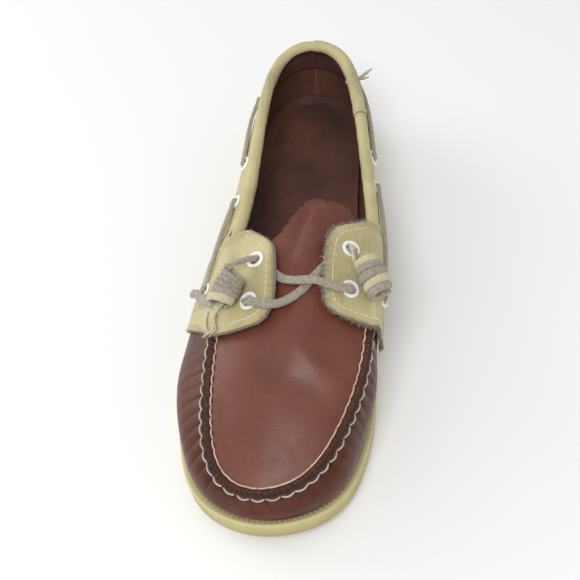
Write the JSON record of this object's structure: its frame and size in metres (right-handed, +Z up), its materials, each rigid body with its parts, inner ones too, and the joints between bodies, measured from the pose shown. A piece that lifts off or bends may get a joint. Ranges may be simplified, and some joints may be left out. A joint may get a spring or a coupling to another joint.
{
  "type": "boat shoe",
  "caption": "Right slip-on boat shoe with a moccasin toe, eyelet facings, a rolled collar, side lacing and barrel-knotted lace ends on a flat rubber sole.",
  "frame": {"origin": "on the floor, at the middle of the shoe's plan box without its free lace ends", "axes": "+Z up, -Y towards the toe, +Y towards the heel, +X towards the medial (big toe) side"},
  "size_m": [0.1086, 0.2956, 0.0832],
  "materials": {
    "rubber_sole": "matt moulded rubber, yellowed cream",
    "brown_leather": "smooth waxed leather, soft gloss",
    "lining_leather": "worn lining leather",
    "tan_leather": "smooth leather with raw suede edges",
    "white_enamel": "gloss white enamel",
    "rawhide": "napped rawhide strap, smooth on one side"
  },
  "bodies": {
    "root": {"outsole": "rubber_sole", "insole": "lining_leather", "upper": "brown_leather", "tongue": "brown_leather", "collar": "tan_leather", "facing_lateral": "tan_leather", "facing_medial": "tan_leather", "eyelet_facing_lateral_front": "white_enamel", "eyelet_facing_lateral_rear": "white_enamel", "eyelet_facing_medial_front": "white_enamel", "eyelet_facing_medial_rear": "white_enamel", "eyelet_side_medial_heel": "white_enamel", "eyelet_side_medial_ankle": "white_enamel", "eyelet_side_medial_waist": "white_enamel", "eyelet_side_medial_instep": "white_enamel", "eyelet_side_lateral_heel": "white_enamel", "eyelet_side_lateral_ankle": "white_enamel", "eyelet_side_lateral_waist": "white_enamel", "eyelet_side_lateral_instep": "white_enamel", "lace_medial_rear_run": "rawhide", "lace_medial_front_run": "rawhide", "lace_lateral_rear_run": "rawhide", "lace_lateral_front_run": "rawhide", "lace_crossing": "rawhide", "lace_end_lateral": "rawhide", "barrel_knot_lateral": "rawhide", "lace_end_medial": "rawhide", "barrel_knot_medial": "rawhide"}
  },
  "joints": []
}
